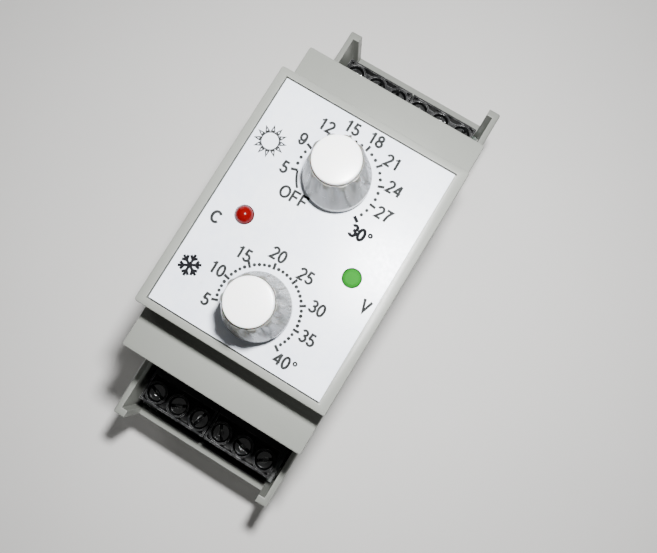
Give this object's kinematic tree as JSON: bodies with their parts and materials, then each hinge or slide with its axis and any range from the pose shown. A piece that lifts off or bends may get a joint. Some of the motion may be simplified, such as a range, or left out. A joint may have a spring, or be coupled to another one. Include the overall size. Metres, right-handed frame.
{
  "type": "twin-dial rail-mount thermostat",
  "caption": "Rail-mount thermostat module with a stepped grey casing, two fluted dials, two lamps and screw terminals at both ends.",
  "frame": {"origin": "centre of the housing's rear plane, z = 0 where its feet end behind the rail", "axes": "+Z out of the face towards the user, +Y along the 90 mm length towards the heating dial, +X to the right seen from the front"},
  "size_m": [0.035, 0.09, 0.0696],
  "materials": {
    "casing": "satin moulded light grey",
    "latch": "satin moulded mid grey",
    "panel": "printed white film with a faint mottle",
    "knob_grey": "glossy grey, slightly translucent",
    "knob_white": "glossy white",
    "terminal_plastic": "moulded dark grey",
    "screw_steel": "zinc-plated, bright",
    "circuit_board": "green solder mask",
    "core_steel": "varnished laminations",
    "coil_tape": "yellow winding tape",
    "relay_blue": "glossy blue",
    "capacitor_black": "sleeved",
    "chip_black": "moulded",
    "pot_steel": "turned",
    "pot_plastic": "moulded blue",
    "lamp_red": "tinted clear red",
    "lamp_green": "tinted diffused green"
  },
  "bodies": {
    "housing": {"base_housing": "casing", "front_cover": "casing", "faceplate": "panel", "main_board": "circuit_board", "front_board": "circuit_board", "link_board": "circuit_board", "heating_pot_body": "pot_plastic", "heating_pot_bushing": "pot_steel", "cooling_pot_body": "pot_plastic", "cooling_pot_bushing": "pot_steel", "red_lamp": "lamp_red", "red_lamp_lead_left": "screw_steel", "red_lamp_lead_right": "screw_steel", "green_lamp": "lamp_green", "green_lamp_lead_left": "screw_steel", "green_lamp_lead_right": "screw_steel", "transformer_core": "core_steel", "transformer_coil": "coil_tape", "heating_relay": "relay_blue", "cooling_relay": "relay_blue", "supply_capacitor": "capacitor_black", "control_chip": "chip_black", "upper_terminal_block_left": "terminal_plastic", "upper_terminal_block_right": "terminal_plastic", "lower_terminal_block_left": "terminal_plastic", "lower_terminal_block_right": "terminal_plastic"},
    "heating_dial": {"heating_knob": "knob_grey", "heating_knob_cap": "knob_white", "heating_pot_shaft": "pot_steel"},
    "cooling_dial": {"cooling_knob": "knob_grey", "cooling_knob_cap": "knob_white", "cooling_pot_shaft": "pot_steel"},
    "rail_latch": {"rail_latch": "latch"},
    "upper_terminal_screw_1": {"upper_terminal_screw_1": "screw_steel"},
    "upper_clamp_cage_1": {"upper_clamp_cage_1": "screw_steel"},
    "upper_terminal_screw_2": {"upper_terminal_screw_2": "screw_steel"},
    "upper_clamp_cage_2": {"upper_clamp_cage_2": "screw_steel"},
    "upper_terminal_screw_3": {"upper_terminal_screw_3": "screw_steel"},
    "upper_clamp_cage_3": {"upper_clamp_cage_3": "screw_steel"},
    "upper_terminal_screw_4": {"upper_terminal_screw_4": "screw_steel"},
    "upper_clamp_cage_4": {"upper_clamp_cage_4": "screw_steel"},
    "upper_terminal_screw_5": {"upper_terminal_screw_5": "screw_steel"},
    "upper_clamp_cage_5": {"upper_clamp_cage_5": "screw_steel"},
    "upper_terminal_screw_6": {"upper_terminal_screw_6": "screw_steel"},
    "upper_clamp_cage_6": {"upper_clamp_cage_6": "screw_steel"},
    "lower_terminal_screw_1": {"lower_terminal_screw_1": "screw_steel"},
    "lower_clamp_cage_1": {"lower_clamp_cage_1": "screw_steel"},
    "lower_terminal_screw_2": {"lower_terminal_screw_2": "screw_steel"},
    "lower_clamp_cage_2": {"lower_clamp_cage_2": "screw_steel"},
    "lower_terminal_screw_3": {"lower_terminal_screw_3": "screw_steel"},
    "lower_clamp_cage_3": {"lower_clamp_cage_3": "screw_steel"},
    "lower_terminal_screw_4": {"lower_terminal_screw_4": "screw_steel"},
    "lower_clamp_cage_4": {"lower_clamp_cage_4": "screw_steel"},
    "lower_terminal_screw_5": {"lower_terminal_screw_5": "screw_steel"},
    "lower_clamp_cage_5": {"lower_clamp_cage_5": "screw_steel"},
    "lower_terminal_screw_6": {"lower_terminal_screw_6": "screw_steel"},
    "lower_clamp_cage_6": {"lower_clamp_cage_6": "screw_steel"}
  },
  "joints": [
    {"name": "heating_dial_turn", "type": "hinge", "parent": "housing", "child": "heating_dial", "pos_m": [0, 0.0105, 0.0636], "axis": [0, 0, -1], "range_deg": [0, 257.3]},
    {"name": "cooling_dial_turn", "type": "hinge", "parent": "housing", "child": "cooling_dial", "pos_m": [0, -0.0133, 0.0636], "axis": [0, 0, -1], "range_deg": [-234.5, 0]},
    {"name": "rail_latch_slide", "type": "slide", "parent": "housing", "child": "rail_latch", "axis": [0, -1, 0], "range_m": [0, 0.004], "stiffness_N_per_m": 400},
    {"name": "upper_screw_1_turn", "type": "hinge", "parent": "housing", "child": "upper_terminal_screw_1", "pos_m": [-0.0125, 0.038, 0.026], "axis": [0, 0, 1], "range_deg": [0, 1080]},
    {"name": "upper_cage_1_slide", "type": "slide", "parent": "housing", "child": "upper_clamp_cage_1", "axis": [0, 0, -1], "range_m": [0, 0.0015]},
    {"name": "upper_screw_2_turn", "type": "hinge", "parent": "housing", "child": "upper_terminal_screw_2", "pos_m": [-0.0075, 0.038, 0.026], "axis": [0, 0, 1], "range_deg": [0, 1080]},
    {"name": "upper_cage_2_slide", "type": "slide", "parent": "housing", "child": "upper_clamp_cage_2", "axis": [0, 0, -1], "range_m": [0, 0.0015]},
    {"name": "upper_screw_3_turn", "type": "hinge", "parent": "housing", "child": "upper_terminal_screw_3", "pos_m": [-0.0025, 0.038, 0.026], "axis": [0, 0, 1], "range_deg": [0, 1080]},
    {"name": "upper_cage_3_slide", "type": "slide", "parent": "housing", "child": "upper_clamp_cage_3", "axis": [0, 0, -1], "range_m": [0, 0.0015]},
    {"name": "upper_screw_4_turn", "type": "hinge", "parent": "housing", "child": "upper_terminal_screw_4", "pos_m": [0.0025, 0.038, 0.026], "axis": [0, 0, 1], "range_deg": [0, 1080]},
    {"name": "upper_cage_4_slide", "type": "slide", "parent": "housing", "child": "upper_clamp_cage_4", "axis": [0, 0, -1], "range_m": [0, 0.0015]},
    {"name": "upper_screw_5_turn", "type": "hinge", "parent": "housing", "child": "upper_terminal_screw_5", "pos_m": [0.0075, 0.038, 0.026], "axis": [0, 0, 1], "range_deg": [0, 1080]},
    {"name": "upper_cage_5_slide", "type": "slide", "parent": "housing", "child": "upper_clamp_cage_5", "axis": [0, 0, -1], "range_m": [0, 0.0015]},
    {"name": "upper_screw_6_turn", "type": "hinge", "parent": "housing", "child": "upper_terminal_screw_6", "pos_m": [0.0125, 0.038, 0.026], "axis": [0, 0, 1], "range_deg": [0, 1080]},
    {"name": "upper_cage_6_slide", "type": "slide", "parent": "housing", "child": "upper_clamp_cage_6", "axis": [0, 0, -1], "range_m": [0, 0.0015]},
    {"name": "lower_screw_1_turn", "type": "hinge", "parent": "housing", "child": "lower_terminal_screw_1", "pos_m": [-0.0125, -0.038, 0.026], "axis": [0, 0, 1], "range_deg": [0, 1080]},
    {"name": "lower_cage_1_slide", "type": "slide", "parent": "housing", "child": "lower_clamp_cage_1", "axis": [0, 0, -1], "range_m": [0, 0.0015]},
    {"name": "lower_screw_2_turn", "type": "hinge", "parent": "housing", "child": "lower_terminal_screw_2", "pos_m": [-0.0075, -0.038, 0.026], "axis": [0, 0, 1], "range_deg": [0, 1080]},
    {"name": "lower_cage_2_slide", "type": "slide", "parent": "housing", "child": "lower_clamp_cage_2", "axis": [0, 0, -1], "range_m": [0, 0.0015]},
    {"name": "lower_screw_3_turn", "type": "hinge", "parent": "housing", "child": "lower_terminal_screw_3", "pos_m": [-0.0025, -0.038, 0.026], "axis": [0, 0, 1], "range_deg": [0, 1080]},
    {"name": "lower_cage_3_slide", "type": "slide", "parent": "housing", "child": "lower_clamp_cage_3", "axis": [0, 0, -1], "range_m": [0, 0.0015]},
    {"name": "lower_screw_4_turn", "type": "hinge", "parent": "housing", "child": "lower_terminal_screw_4", "pos_m": [0.0025, -0.038, 0.026], "axis": [0, 0, 1], "range_deg": [0, 1080]},
    {"name": "lower_cage_4_slide", "type": "slide", "parent": "housing", "child": "lower_clamp_cage_4", "axis": [0, 0, -1], "range_m": [0, 0.0015]},
    {"name": "lower_screw_5_turn", "type": "hinge", "parent": "housing", "child": "lower_terminal_screw_5", "pos_m": [0.0075, -0.038, 0.026], "axis": [0, 0, 1], "range_deg": [0, 1080]},
    {"name": "lower_cage_5_slide", "type": "slide", "parent": "housing", "child": "lower_clamp_cage_5", "axis": [0, 0, -1], "range_m": [0, 0.0015]},
    {"name": "lower_screw_6_turn", "type": "hinge", "parent": "housing", "child": "lower_terminal_screw_6", "pos_m": [0.0125, -0.038, 0.026], "axis": [0, 0, 1], "range_deg": [0, 1080]},
    {"name": "lower_cage_6_slide", "type": "slide", "parent": "housing", "child": "lower_clamp_cage_6", "axis": [0, 0, -1], "range_m": [0, 0.0015]}
  ],
  "couplings": [
    {"joint": "upper_screw_1_turn", "follows": "upper_cage_1_slide", "rad_per_m": 12566},
    {"joint": "upper_screw_2_turn", "follows": "upper_cage_2_slide", "rad_per_m": 12566},
    {"joint": "upper_screw_3_turn", "follows": "upper_cage_3_slide", "rad_per_m": 12566},
    {"joint": "upper_screw_4_turn", "follows": "upper_cage_4_slide", "rad_per_m": 12566},
    {"joint": "upper_screw_5_turn", "follows": "upper_cage_5_slide", "rad_per_m": 12566},
    {"joint": "upper_screw_6_turn", "follows": "upper_cage_6_slide", "rad_per_m": 12566},
    {"joint": "lower_screw_1_turn", "follows": "lower_cage_1_slide", "rad_per_m": 12566},
    {"joint": "lower_screw_2_turn", "follows": "lower_cage_2_slide", "rad_per_m": 12566},
    {"joint": "lower_screw_3_turn", "follows": "lower_cage_3_slide", "rad_per_m": 12566},
    {"joint": "lower_screw_4_turn", "follows": "lower_cage_4_slide", "rad_per_m": 12566},
    {"joint": "lower_screw_5_turn", "follows": "lower_cage_5_slide", "rad_per_m": 12566},
    {"joint": "lower_screw_6_turn", "follows": "lower_cage_6_slide", "rad_per_m": 12566}
  ]
}
